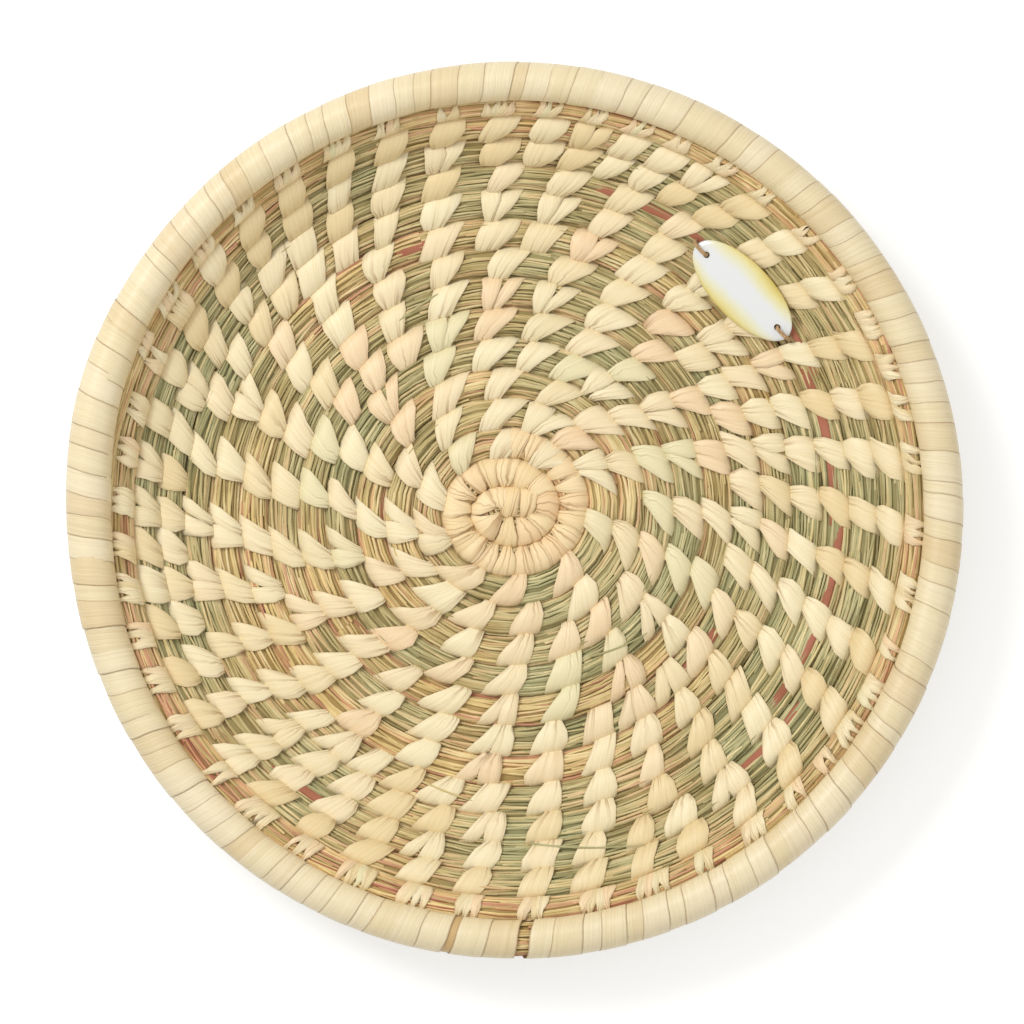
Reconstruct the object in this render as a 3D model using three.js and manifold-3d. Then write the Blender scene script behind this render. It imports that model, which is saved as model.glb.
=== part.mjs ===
// Coiled grass wall plate, millimetres, +Z up, standing on the middle of its flat base.
// A bundle of grass is coiled into a shallow bowl and sewn row to row with strips of palm leaf.
// A thicker grass hoop, bound with wider leaf, finishes the rim, and a small oval tag is tied on inside.
import * as THREE from "three";
import { mergeVertices } from "three/addons/utils/BufferGeometryUtils.js";
import Module from "manifold-3d";

const wasm = await Module();
wasm.setup();

// Profile of the bowl, followed by the middle of the grass bundle
const baseRadius = 76.5;
const dishRadius = 118;
const dishSlope = 17;
const wallRadius = 49;
const plateOffsetX = -2.8;
const plateOffsetY = 1.2;

// Grass coil
const rowPitch = 10.15;
const bundleWidth = 8.3;
const firstRowRadius = 2.45;
const startTurns = 0.25;
const wrappedTurns = 2.2;
const coilTurns = 14.45;
const foldLength = 2.7;
const foldFadeTurns = 8;
const leadInLength = 6;
const taperTurns = 0.85;
const taperShare = 0.3;

// Palm leaf stitches
const leafThickness = 0.3;
const leafCrown = 0.65;
const leafWidth = 9.4;
const pierceWidth = 3;
const backWidth = 3.6;
const backReach = 0.75;
const stitchLean = 4.6;
const stitchSpacing = 20.5;
const middleSpacing = 9;
const spacingGrowth = 0.15;
const wrapSpacing = 8.6;
const leafGap = 0.8;
const stitchesPerStrip = 10;
const wrapsPerStrip = 12;

// Rim
const rimCoreRadius = 5.5;
const rimLeafThickness = 0.55;
const rimFlare = 33;
const rimStepEnd = 186;
const rimStepLength = 26;
const rimStrips = 9;
const windingsPerStrip = 5;

// Oval tag and its ties
const tagLength = 43.5;
const tagWidth = 20;
const tagThickness = 1.8;
const tagEdge = 0.5;
const tagLift = 1;
const tagAngle = 45;
const tagRadius = 107.5;
const tagHoleSpacing = 34;
const tagHoleDiameter = 2.2;
const tieDiameter = 1.2;

// Clearances
const touchGap = 0.3;
const footDepth = 0.25;
const levelWithin = 0.03;

// Where the coil's gap to its neighbouring turn is measured: points a stitch, and turns ahead
const gapSamples = 5;
const gapTurnsFrom = 0.5;
const gapTurnsTo = 1.25;

// Faces
const bundleSides = 5;
const rimSides = 6;
const tieSides = 6;
const tieSteps = 12;
const tagSegments = 16;

const turn = 2 * Math.PI;
const firstCorner = Math.PI / 2 - turn / bundleSides;
const bundleRadius = bundleWidth / 2 / Math.cos(firstCorner);
const rimRadius = rimCoreRadius + touchGap + rimLeafThickness;
const baseHeight =
  (bundleRadius + touchGap + leafCrown) * Math.cos(Math.PI / bundleSides) - footDepth;
const radians = THREE.MathUtils.degToRad;
const clamp = THREE.MathUtils.clamp;

// A closed body joined from rings of points, each counter-clockwise seen from the body's first end
function sweep(rings, closed = false) {
  const sides = rings[0].length;
  const spans = closed ? rings.length : rings.length - 1;
  const positions = rings.flat().flatMap((point) => point.toArray());
  const faces = [];
  for (let i = 0; i < spans; i++) {
    const near = i * sides;
    const far = ((i + 1) % rings.length) * sides;
    for (let j = 0; j < sides; j++) {
      const next = (j + 1) % sides;
      faces.push(near + j, far + next, near + next);
      faces.push(near + j, far + j, far + next);
    }
  }
  const last = (rings.length - 1) * sides;
  for (let j = 1; j < sides - 1 && !closed; j++) {
    faces.push(0, j, j + 1);
    faces.push(last, last + j + 1, last + j);
  }
  const geometry = new THREE.BufferGeometry();
  geometry.setAttribute("position", new THREE.Float32BufferAttribute(positions, 3));
  geometry.setIndex(faces);
  return geometry;
}

// The solid inside a closed surface, for joining and cutting
function solidOf(geometry) {
  const bare = geometry.clone();
  bare.deleteAttribute("normal");
  bare.deleteAttribute("uv");
  const merged = mergeVertices(bare);
  return new wasm.Manifold(
    new wasm.Mesh({
      numProp: 3,
      vertProperties: merged.attributes.position.array,
      triVerts: new Uint32Array(merged.index.array),
    }),
  );
}

function geometryOf(solid) {
  const mesh = solid.getMesh();
  const geometry = new THREE.BufferGeometry();
  geometry.setAttribute("position", new THREE.Float32BufferAttribute(mesh.vertProperties, 3));
  geometry.setIndex(new THREE.BufferAttribute(mesh.triVerts, 1));
  return geometry;
}

// The profile: flat base, a slow dish arc and a tighter wall arc, each tangent to the one before
function profileAt(run) {
  const dishRun = dishRadius * radians(dishSlope);
  const flat = Math.min(run, baseRadius);
  const dish = clamp(run - baseRadius, 0, dishRun) / dishRadius;
  const wall = Math.max(run - baseRadius - dishRun, 0) / wallRadius;
  const slope = dish + wall;
  const radius =
    flat + dishRadius * Math.sin(dish) + wallRadius * (Math.sin(slope) - Math.sin(dish));
  const height =
    baseHeight + dishRadius * (1 - Math.cos(dish)) + wallRadius * (Math.cos(dish) - Math.cos(slope));
  return { radius, height, slope };
}

// Share of the full bundle that is left: the last turn thins out under the rim
function bundleShare(turns) {
  const along = clamp((turns - coilTurns + taperTurns) / taperTurns, 0, 1);
  return 1 - (1 - taperShare) * along;
}

// Middle of the bundle after a number of turns, with the outward and upward directions across it
function rowAt(turns) {
  const share = bundleShare(turns);
  const run = firstRowRadius + rowPitch * (turns - startTurns) - (bundleWidth / 2) * (1 - share);
  const { radius, height, slope } = profileAt(run);
  const angle = turn * turns;
  const fold = foldLength * clamp(1 - (turns - startTurns) / foldFadeTurns, 0, 1);
  const onBase = clamp(1 - height / (baseHeight + wallRadius / 2), 0, 1);
  const outward = new THREE.Vector3(Math.cos(angle), Math.sin(angle), 0);
  const centre = outward.clone().multiplyScalar(radius);
  centre.x += fold * Math.cos(angle) + plateOffsetX * onBase;
  centre.y += plateOffsetY * onBase;
  centre.z = height;
  return frameAt(centre, outward, slope, share * bundleRadius);
}

function frameAt(centre, outward, slope, size) {
  const across = outward.clone().multiplyScalar(Math.cos(slope));
  across.z = Math.sin(slope);
  const up = outward.clone().multiplyScalar(-Math.sin(slope));
  up.z = Math.cos(slope);
  return { centre, across, up, size };
}

// A point of a station's section: how far out from the middle, at which angle from the outward side
function sectionPoint({ centre, across, up }, distance, angle) {
  return centre
    .clone()
    .addScaledVector(across, distance * Math.cos(angle))
    .addScaledVector(up, distance * Math.sin(angle));
}

function sectionRing(station, distance, sides, turned = 0) {
  return Array.from({ length: sides }, (_, j) =>
    sectionPoint(station, distance, turned + (turn * j) / sides),
  );
}

// The coil bends only between stitches, so its stations stand one stitch apart
function coilStations() {
  const found = [leadIn(leadInLength), leadIn(leadInLength / 2)];
  let turns = startTurns;
  while (turns < coilTurns) {
    found.push({ ...rowAt(turns), turns });
    const radius = Math.hypot(found.at(-1).centre.x, found.at(-1).centre.y);
    const open = Math.min(stitchSpacing, middleSpacing + spacingGrowth * radius);
    const spacing = turns < wrappedTurns ? wrapSpacing : open;
    turns += spacing / arcPerTurn(turns);
  }
  return found;
}

// The bundle starts with a straight stretch, laid along the first fold
function leadIn(distance) {
  const start = rowAt(startTurns);
  start.centre.x += distance;
  return { ...start, turns: startTurns };
}

function arcPerTurn(turns) {
  const step = 0.01;
  return rowAt(turns + step).centre.distanceTo(rowAt(turns - step).centre) / (2 * step);
}

const stations = coilStations();

function coilRings() {
  return stations.map((station) => sectionRing(station, station.size, bundleSides, firstCorner));
}

// Least gap of the coil to itself, between points spread along its sides and its neighbouring turn
function leastCoilGap() {
  const points = [];
  for (let stitch = 1; stitch < stations.length - 1; stitch++) {
    const from = stations[stitch];
    const to = stations[stitch + 1];
    const chord = from.centre.distanceTo(to.centre);
    for (let i = 0; i < gapSamples; i++) {
      const along = i / gapSamples;
      const turns = THREE.MathUtils.lerp(from.turns, to.turns, along);
      for (let corner = 0; corner < bundleSides; corner++) {
        points.push({ turns, place: besideCoil(stitch, (along - 0.5) * chord, corner, 0) });
      }
    }
  }
  let least = Infinity;
  points.forEach((one, i) => {
    for (let j = i + 1; j < points.length; j++) {
      const ahead = points[j].turns - one.turns;
      if (ahead > gapTurnsTo) break;
      if (ahead > gapTurnsFrom) least = Math.min(least, one.place.distanceTo(points[j].place));
    }
  });
  return least;
}

// A point beside the faceted coil: stitch number, shift along it, corner and distance off its surface
function besideCoil(stitch, shift, corner, distance) {
  const from = stations[stitch];
  const to = stations[stitch + 1];
  const angle = firstCorner + (turn * corner) / bundleSides;
  const start = sectionPoint(from, from.size + distance, angle);
  const end = sectionPoint(to, to.size + distance, angle);
  const chord = from.centre.distanceTo(to.centre);
  return start.lerp(end, 0.5 + shift / chord);
}

// How a stitch lies at each corner of the bundle: sideways shift, width and thickness of the leaf.
// It fans out over the outer edge, leans over the top, and is pinched where it pierces the row below.
function stitchCourse(stitch) {
  const chord = stations[stitch].centre.distanceTo(stations[stitch + 1].centre);
  const fan = Math.min(leafWidth, chord - leafGap);
  const tightness = Math.min(1, chord / stitchSpacing);
  const lean = stitchLean * tightness;
  const pierce = pierceWidth + (fan - pierceWidth) * (1 - tightness);
  const back = backWidth * tightness;
  const reach = (chord / 2 - back / 2 - leafGap) * backReach;
  const bend = stations[stitch].across.angleTo(stations[stitch + 1].across) / 2;
  const rise = (chord / 2 - reach + back / 2) * Math.sin(bend) * stations[stitch].across.z;
  return [
    { shift: -lean / 2, width: fan, crown: leafThickness, rise: 0 },
    { shift: 0, width: fan, crown: leafCrown, rise: 0 },
    { shift: lean / 2, width: pierce, crown: leafThickness, rise: 0 },
    { shift: reach, width: back, crown: leafCrown, rise },
    { shift: -reach, width: back, crown: leafCrown, rise, crosses: true },
  ];
}

// One strip of leaf, sewn round the bundle in an unbroken helix of stitches
function leafStrip(first, last) {
  const rings = [];
  for (let stitch = first; stitch < last; stitch++) {
    stitchCourse(stitch).forEach((place, corner) => {
      const beyond = place.crosses ? 1 : 0;
      if (stitch + beyond >= last) return;
      const { shift, width, crown, rise } = place;
      const under = touchGap + rise;
      rings.push([
        besideCoil(stitch + beyond, shift + width / 2, corner, under),
        besideCoil(stitch + beyond, shift, corner, under + crown),
        besideCoil(stitch + beyond, shift - width / 2, corner, under),
      ]);
    });
  }
  return sweep(rings);
}

// Underside of whatever reaches the ground is cut level, so that the plate stands flat
function footed(geometry) {
  geometry.computeBoundingBox();
  const box = geometry.boundingBox;
  if (box.min.z > -levelWithin) return geometry;
  const size = box.getSize(new THREE.Vector3()).addScalar(rowPitch);
  const ground = new THREE.BoxGeometry(size.x, size.y, rowPitch);
  const middle = box.getCenter(new THREE.Vector3());
  ground.translate(middle.x, middle.y, -rowPitch / 2);
  return geometryOf(solidOf(geometry).subtract(solidOf(ground)));
}

// Middle of the rim, laid against the last row all round, stepping down a row where the coil ends
function rimAt(degrees) {
  const share = THREE.MathUtils.euclideanModulo((degrees - rimStepEnd) / 360, 1);
  const turns = Math.floor(coilTurns) - 1 + rimStepEnd / 360 + share;
  const station = besideRow(turns);
  const stepDown = THREE.MathUtils.smoothstep(share, 1 - rimStepLength / 360, 1);
  station.centre.lerp(besideRow(turns - 1).centre, stepDown);
  return station;
}

function besideRow(turns) {
  const row = rowAt(turns);
  const away = row.size + leafThickness + 3 * touchGap + rimRadius;
  const outward = new THREE.Vector3(Math.cos(turn * turns), Math.sin(turn * turns), 0);
  const flare = frameAt(row.centre, outward, radians(rimFlare), rimCoreRadius);
  flare.centre = flare.centre.clone().addScaledVector(flare.across, away);
  return flare;
}

const rimWindings = rimStrips * windingsPerStrip;

// A ring of points round the faceted rim core, at a winding number and a distance from its middle
function rimRing(winding, distance) {
  const ringAt = (number) =>
    sectionRing(rimAt(rimStepEnd + (360 * number) / rimWindings), distance, rimSides);
  const from = ringAt(Math.floor(winding));
  const to = ringAt(Math.floor(winding) + 1);
  return from.map((point, j) => point.clone().lerp(to[j], winding % 1));
}

function rimCore() {
  return sweep(
    Array.from({ length: rimWindings }, (_, winding) => rimRing(winding, rimCoreRadius)),
    true,
  );
}

// One strip of the rim's binding: a sleeve of leaf, open for the core, laid edge to edge with the next
function rimStrip(number) {
  const first = number * windingsPerStrip;
  const chord = rimAt(0).centre.distanceTo(rimAt(360 / rimWindings).centre);
  const inset = touchGap / 2 / chord;
  const places = Array.from({ length: windingsPerStrip + 1 }, (_, i) =>
    clamp(first + i, first + inset, first + windingsPerStrip - inset),
  );
  const outside = places.map((place) => rimRing(place, rimRadius));
  const bore = places.map((place) => rimRing(place, rimCoreRadius + touchGap));
  return sweep([...outside, ...bore.reverse()], true);
}

// Frame of the tag: along the row, up the slope, and off the weave
function tagFrame() {
  const angle = radians(tagAngle);
  const outward = new THREE.Vector3(Math.cos(angle), Math.sin(angle), 0);
  const slope = profileAt(runAtRadius(tagRadius)).slope;
  const row = frameAt(outward.clone().multiplyScalar(tagRadius), outward, slope, 0);
  row.centre.z = profileAt(runAtRadius(tagRadius)).height;
  const lift = bundleRadius + leafCrown + 2 * touchGap + tagLift;
  const place = row.centre.clone().addScaledVector(row.up, lift);
  const along = new THREE.Vector3().crossVectors(row.across, row.up);
  const frame = new THREE.Group();
  frame.applyMatrix4(new THREE.Matrix4().makeBasis(along, row.across, row.up).setPosition(place));
  return frame;
}

// Length along the profile at which it has reached a radius
function runAtRadius(radius) {
  let run = 0;
  while (profileAt(run).radius < radius) run += touchGap;
  return run;
}

function tagPlate() {
  const outline = new THREE.Shape();
  outline.absellipse(0, 0, tagLength / 2 - tagEdge, tagWidth / 2 - tagEdge, 0, turn);
  for (const side of [-1, 1]) {
    const hole = new THREE.Path();
    hole.absarc((side * tagHoleSpacing) / 2, 0, tagHoleDiameter / 2 + tagEdge, 0, turn);
    outline.holes.push(hole);
  }
  const plate = new THREE.ExtrudeGeometry(outline, {
    depth: tagThickness - 2 * tagEdge,
    bevelThickness: tagEdge,
    bevelSize: tagEdge,
    bevelSegments: 1,
    curveSegments: tagSegments,
  });
  return plate.translate(0, 0, tagEdge);
}

// A tie of twine: up through the tag's hole, over its tip and down into the weave
function tagTie(side) {
  const hole = tagHoleSpacing / 2;
  const over = tagThickness + touchGap + tieDiameter / 2;
  const beyond = tagLength / 2 + touchGap + tieDiameter / 2;
  const course = [
    [hole, 0],
    [hole, tagThickness],
    [hole + tieDiameter, over],
    [beyond - tieDiameter, over],
    [beyond, tagThickness],
    [beyond, 0],
  ].map(([x, z]) => new THREE.Vector3(side * x, 0, z));
  const path = new THREE.CatmullRomCurve3(course, false, "centripetal");
  const section = new THREE.Shape().absarc(0, 0, tieDiameter / 2, 0, turn);
  const around = { curveSegments: tieSides / 2, steps: tieSteps, extrudePath: path };
  return new THREE.ExtrudeGeometry(section, { ...around, bevelEnabled: false });
}

const grass = new THREE.MeshStandardMaterial({ color: "#a39c6b", roughness: 0.8, metalness: 0 });
const leaf = new THREE.MeshStandardMaterial({ color: "#eeddb4", roughness: 0.6, metalness: 0 });
const glaze = new THREE.MeshStandardMaterial({ color: "#f6f3e6", roughness: 0.25, metalness: 0 });
const twine = new THREE.MeshStandardMaterial({ color: "#c9ad7c", roughness: 0.9, metalness: 0 });

const plate = new THREE.Group();

function addPiece(name, geometry, material, holder = plate) {
  const mesh = new THREE.Mesh(geometry, material);
  mesh.name = name;
  holder.add(mesh);
}

const numbered = (name, number) => `${name}_${String(number).padStart(2, "0")}`;

addPiece("grass_coil", sweep(coilRings()), grass);
const stitches = stations.length - 1;
const wrapped = stations.findIndex(({ turns }) => turns >= wrappedTurns);
for (let first = 1, number = 1; first < wrapped; first += wrapsPerStrip, number++) {
  const last = Math.min(first + wrapsPerStrip, wrapped);
  addPiece(numbered("centre_wrap", number), footed(leafStrip(first, last)), leaf);
}
for (let first = wrapped, number = 1; first < stitches; first += stitchesPerStrip, number++) {
  const last = Math.min(first + stitchesPerStrip, stitches);
  addPiece(numbered("leaf_stitching", number), footed(leafStrip(first, last)), leaf);
}
addPiece("rim_core", rimCore(), grass);
for (let number = 0; number < rimStrips; number++) {
  addPiece(numbered("rim_binding", number + 1), rimStrip(number), leaf);
}
const tag = tagFrame();
plate.add(tag);
addPiece("oval_tag", tagPlate(), glaze, tag);
addPiece("tag_tie_left", tagTie(-1), twine, tag);
addPiece("tag_tie_right", tagTie(1), twine, tag);

// The origin is under the middle of the whole plate
const outer = new THREE.Box3().setFromObject(plate).getCenter(new THREE.Vector3());
plate.position.set(-outer.x, -outer.y, 0);

console.log(`least gap from turn to turn of the coil: ${leastCoilGap().toFixed(2)} mm`);

export default plate;
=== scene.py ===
"""Looks of the coiled grass wall plate: grass stems, palm leaf sewing, bound rim and a small glazed tag."""

import math
import random
from functools import partial

import bmesh
import bpy
from mathutils import Matrix, Vector


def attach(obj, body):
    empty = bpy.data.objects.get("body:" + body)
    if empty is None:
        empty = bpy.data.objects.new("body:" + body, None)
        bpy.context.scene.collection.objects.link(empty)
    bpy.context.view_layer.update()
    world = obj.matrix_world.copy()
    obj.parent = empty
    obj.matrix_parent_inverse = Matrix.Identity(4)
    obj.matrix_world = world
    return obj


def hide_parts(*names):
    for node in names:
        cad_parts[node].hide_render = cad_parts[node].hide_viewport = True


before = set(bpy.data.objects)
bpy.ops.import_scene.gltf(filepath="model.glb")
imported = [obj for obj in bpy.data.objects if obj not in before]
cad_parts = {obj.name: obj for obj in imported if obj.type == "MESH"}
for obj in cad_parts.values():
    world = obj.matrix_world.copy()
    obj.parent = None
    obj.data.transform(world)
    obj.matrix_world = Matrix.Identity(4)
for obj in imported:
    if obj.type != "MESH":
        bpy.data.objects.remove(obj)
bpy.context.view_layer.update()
mm = 0.001
turn = 2 * math.pi
dice = random.Random(7)

# Profile of the bowl, followed by the middle of the grass bundle
base_radius = 76.5 * mm
dish_radius = 118 * mm
dish_slope = math.radians(17)
wall_radius = 49 * mm
plate_offset_x = -2.8 * mm
plate_offset_y = 1.2 * mm
centring = Vector((-0.101, -0.949, 0)) * mm
base_height = 4.05 * mm

# Grass coil
row_pitch = 10.15 * mm
first_row_radius = 2.45 * mm
start_turns = 0.25
coil_turns = 14.45
fold_length = 2.7 * mm
fold_fade_turns = 8
lead_in_turns = 0.07
lead_in_pitch = 100 * mm
slim_share = 1.05
tail_turns = 0.075
tail_share = 0.2
taper_turns = 0.85
taper_share = 0.5
bundle_half_width = 4.9 * mm
bundle_rise = 4.2 * mm
bundle_drop = 3.5 * mm
guide_step = 6.5 * mm
stems_around = 54
stem_width = 0.98 * mm
core_half_width = 4.9 * mm
core_half_height = 3.5 * mm
stem_ring_width = 1.02
stem_ring_height = 0.93
stem_jitter = 0.42 * mm
stem_wander = 0.65
stem_break_chance = 0.035
stem_lumps = 0.3 * mm
thinnest_stem = 0.34
thickest_stem = 0.62
stem_sides = 5
core_sides = 12
coil_lengths_end = (6.6, 9.3, 11.4, 13.1)

# How a stem sways, quivers and swells, in waves for each metre of it, and how many lie below the face
stem_sway_waves = 9.0
stem_quiver_waves = 31.0
stem_lump_waves = 60.0
stem_quiver_share = 0.45
stem_sunk_share = 0.7

# Multipliers that draw further chances from a piece's own one
depth_shuffle = 7.31
width_shuffle = 13.7
ragged_shuffle = 71.0
pleat_shuffle = 37.0
rib_shuffle = 91.0
fold_shuffle = 57.0

# Loose stems: where each starts in turns, its length, rows it crosses and how green it is
loose_stem_lift = 0.9 * mm
loose_half_width = 0.45 * mm
loose_half_height = 0.35 * mm
loose_stem_steps = 14
loose_stem_taper = 0.6
loose_stem_tone = 0.4
loose_stems = (
    (11.76, 38 * mm, 0.9, 1.0),
    (7.3, 20 * mm, -0.4, 0.8),
    (9.7, 22 * mm, 0.3, 0.9),
    (5.83, 20 * mm, 0.5, 1.0),
)
# Broad red stems in the face of the coil: where each starts in turns, its length and its place across
broad_stems = (
    (10.89, 75 * mm, 1.0 * mm),
    (10.99, 60 * mm, -0.8 * mm),
    (11.06, 62 * mm, 1.2 * mm),
    (11.14, 50 * mm, 0.2 * mm),
    (7.87, 24 * mm, 0.8 * mm),
    (11.86, 36 * mm, -0.6 * mm),
    (11.63, 26 * mm, 0.9 * mm),
    (9.28, 22 * mm, -0.4 * mm),
)
broad_half_width = 1.7 * mm
broad_half_height = 0.75 * mm
broad_stem_steps = 24
broad_stem_tone = 0.99
broad_stem_depth = 0.55
broad_stem_dive = 2.5
broad_stem_dive_power = 12
never_green = -1.0

# How green the grass is along the coil, by turns, and how the leaf leans to peach or to pale green
green_rows = ((1, 0.3), (2.6, 0.6), (4.6, 0.3), (5.8, 0.95), (6.8, 0.05), (7.8, 0.9), (8.7, 0.05))
green_rows += ((10, 0.7), (11, 0.8), (12.4, 0.8), (13.2, 0.5), (13.6, 0.0))
leaf_rows = ((1.5, 0.35), (3.2, 0.25), (4.4, 0.15), (5, 0.5), (5.5, 0.3), (6, 0.55), (6.7, 0.4))
leaf_rows += ((7.4, 0.1), (10.5, 0.0), (12.2, -0.2))

# Palm leaf sewing
stitch_width = 11.5 * mm
stitch_lean = 7 * mm
inner_stitch_lean = 8.8 * mm
leaf_thickness = 0.3 * mm
wrap_spacing = 5.8 * mm
open_from_turns = 2.15
tongues_from_turns = 13.4
stitch_spacing = 18 * mm
stitch_step_back = 2.2 * mm
stitch_jitter = 0.9 * mm
stitch_width_range = (0.85, 1.1)
stitch_lean_range = (0.7, 1.2)
stitch_squareness = (0, 0, 0.1, 0.25, 0.7)
stitch_tone_spread = 0.75
lean_settles_from = 3
lean_settles_over = 7
wrap_width_range = (0.95, 1.15)
row_evening_passes = 4
row_evening_share = 0.4
leaf_sides = 10
stitch_stations = 11
rim_wrap_stations = 16
leaf_edge_crispness = 0.6
squared_leaf_width = 0.95
ragged_waves = 3.4

# A split stitch: widths and leans of its two halves as shares of the whole, and how they lie
split_stitch_chance = 0.14
split_widths = (0.55, 0.62)
split_leans = (1.1, 0.5)
split_slide = 0.24
split_lift = 0.25 * mm
split_tone_step = 0.03

# Split ends that lash the last row to the rim, in millimetres, and how much they draw together
lashing_fans = ((-4.5, -1.2, 2.2), (-5, -2, 1, 4), (-3, 1.5))
lashing_tip_jitter = 0.7
lashing_widths = (4.0, 5.8)
lashing_leans = (1.5, 3.5)
lashing_gathering = 0.4

# Lengths of leaf: how far apart their wraps and stitches are counted, and how many each one sews
wrapped_turns = 2.2
wrap_pitch = 8.6 * mm
widest_stitch_pitch = 20.5 * mm
stitch_pitch_at_middle = 9 * mm
stitch_pitch_growth = 0.15
wraps_per_strip = 12
stitches_per_strip = 10

# Rim
rim_radius = 6.35 * mm
rim_stand_off = 6.25 * mm
rim_flare = math.radians(33)
rim_step_end = 186
rim_step_length = 22
rim_strips = 9
rim_wraps = 117
rim_middle_radius = 143.5 * mm
rim_core_radius = 4.7 * mm
rim_stem_ring = 5.2 * mm
rim_core_stations = 180
rim_core_spacing = 5 * mm
rim_core_green = -0.4
rim_width_range = (1.15, 1.4)
rim_usual_width = 1.27
rim_place_jitter = 0.14
rim_lift_jitter = 0.16 * mm
rim_tone_spread = 0.85
rim_bulge = 1.1 * mm
rim_gap = 270.3
tan_strip = 262
tan_strip_tone = 0.95
odd_strip_reach = 1.6
odd_strip_neighbours = 4.8
odd_strip_closing = 1.5 * mm
tan_strip_depth = 0.2 * mm

# Tag
tag_length = 43.5 * mm
tag_width = 20 * mm
tag_thickness = 1.8 * mm
tag_angle = math.radians(44.3)
tag_radius = 108.6 * mm
tag_lift = 6.6 * mm
tag_hole_spacing = 34 * mm
tag_hole_radius = 1.1 * mm
tag_dome = 0.7 * mm
tag_edge_rounding = 0.18 * mm
tag_body_share = 0.75
tag_segments = 72
thread_radius = 0.34 * mm
thread_twist_height = 0.21 * mm
thread_twist_width = 0.36 * mm
thread_plies = 3
thread_steps = 70
thread_steps_per_twist = 11

# Real sizes behind the patterns of the finishes
green_patch = 59 * mm
dull_patch = 16.7 * mm
stem_grain = 1.1 * mm
stitch_rib_spacing = 0.64 * mm
wrap_rib_spacing = 0.34 * mm
rim_rib_spacing = 0.31 * mm
glaze_cloud = 11 * mm
thread_fibre = 0.38 * mm

# How those patterns run along the leaf, and how strongly they show
ribs_per_fold = 2.4
rib_waves_along = 1.1
fold_waves_along = 0.35
rib_relief = 0.4
rib_shade = 0.35
dull_shade = 0.8
green_contrast = 2.6
glaze_drift = 0.35
glaze_shift = -0.17
pattern_roughness = 0.6

# Light and floor
world_strength = 0.65
floor_glow = 0.45
floor_reach = 3.0

# Camera and the plate's place in the photograph
photo_size = 1024
photo_scale = 0.3335 * mm
plate_middle_px = (515.5, 509.5)
camera_height = 2.5
face_height = 34 * mm
sensor_width = 36


def clamp(value, low=0.0, high=1.0):
    return min(max(value, low), high)


def linear(hex_colour):
    """An sRGB hex colour as linear RGBA."""
    channels = [int(hex_colour[i : i + 2], 16) / 255 for i in (1, 3, 5)]
    return [c / 12.92 if c < 0.04045 else ((c + 0.055) / 1.055) ** 2.4 for c in channels] + [1]


def profile_at(run):
    """Flat base, a slow dish arc and a tighter wall arc, each tangent to the one before."""
    dish_run = dish_radius * dish_slope
    dish = clamp(run - base_radius, 0, dish_run) / dish_radius
    wall = max(run - base_radius - dish_run, 0) / wall_radius
    slope = dish + wall
    radius = min(run, base_radius) + dish_radius * math.sin(dish)
    radius += wall_radius * (math.sin(slope) - math.sin(dish))
    height = base_height + dish_radius * (1 - math.cos(dish))
    height += wall_radius * (math.cos(dish) - math.cos(slope))
    return radius, height, slope


def between(marks, place):
    """The value at a place between marked places."""
    for (a, low), (b, high) in zip(marks, marks[1:]):
        if place < b:
            return low + (high - low) * clamp((place - a) / (b - a))
    return marks[-1][1]


def outward_at(turns):
    return Vector((math.cos(turn * turns), math.sin(turn * turns), 0))


def tilted(outward, slope):
    """Directions across a row, from its inner to its outer side, and off its face."""
    across = outward * math.cos(slope) + Vector((0, 0, math.sin(slope)))
    up = Vector((0, 0, math.cos(slope))) - outward * math.sin(slope)
    return across, up


def row_at(turns):
    """Middle of the bundle after a number of turns, directions across it and its share of full size."""
    lead_in = max(0, start_turns - turns) * lead_in_pitch
    turns = max(turns, start_turns)
    along = clamp((turns - coil_turns + taper_turns) / taper_turns)
    share = 1 - (1 - taper_share) * along
    share -= (taper_share - tail_share) * clamp((turns - coil_turns) / tail_turns)
    run = first_row_radius + row_pitch * (turns - start_turns) - bundle_half_width * (1 - share)
    radius, height, slope = profile_at(run)
    outward = outward_at(turns)
    fold = fold_length * clamp(1 - (turns - start_turns) / fold_fade_turns)
    on_base = clamp(1 - height / (base_height + wall_radius / 2))
    centre = outward * radius + centring
    centre.x += fold * outward.x + plate_offset_x * on_base + lead_in
    centre.y += plate_offset_y * on_base
    centre.z = height
    across, up = tilted(outward, slope)
    slim = slim_share + (1 - slim_share) * clamp(turns - start_turns)
    return {"place": centre, "across": across, "up": up, "size": share * slim}


def beside_row(turns):
    row = row_at(turns)
    across, up = tilted(outward_at(turns), rim_flare)
    away = bundle_half_width * row["size"] + rim_stand_off
    return {"place": row["place"] + across * away, "across": across, "up": up, "size": 1.0}


def rim_at(degrees):
    """Middle of the rim, laid against the last row all round, stepping down a row where the coil ends."""
    share = ((degrees - rim_step_end) / 360) % 1
    turns = math.floor(coil_turns) - 1 + rim_step_end / 360 + share
    station = beside_row(turns)
    down = clamp((share - 1 + rim_step_length / 360) * 360 / rim_step_length)
    down = down * down * (3 - 2 * down)
    station["place"] = station["place"].lerp(beside_row(turns - 1)["place"], down)
    return station


def arc_per_turn(turns):
    step = 0.01
    gap = row_at(turns + step)["place"] - row_at(turns - step)["place"]
    return gap.length / (2 * step)


def guide_mesh(name, stations, lines=()):
    """A mesh of points, or of lines through points, that carries each point's numbers and vectors."""
    mesh = bpy.data.meshes.new(name)
    mesh.from_pydata([s["place"] for s in stations], list(lines), [])
    for key, value in stations[0].items():
        if key == "place":
            continue
        if isinstance(value, Vector):
            attribute = mesh.attributes.new(key, "FLOAT_VECTOR", "POINT")
            attribute.data.foreach_set("vector", [c for s in stations for c in s[key]])
        else:
            attribute = mesh.attributes.new(key, "FLOAT", "POINT")
            attribute.data.foreach_set("value", [s[key] for s in stations])
    return mesh


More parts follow.
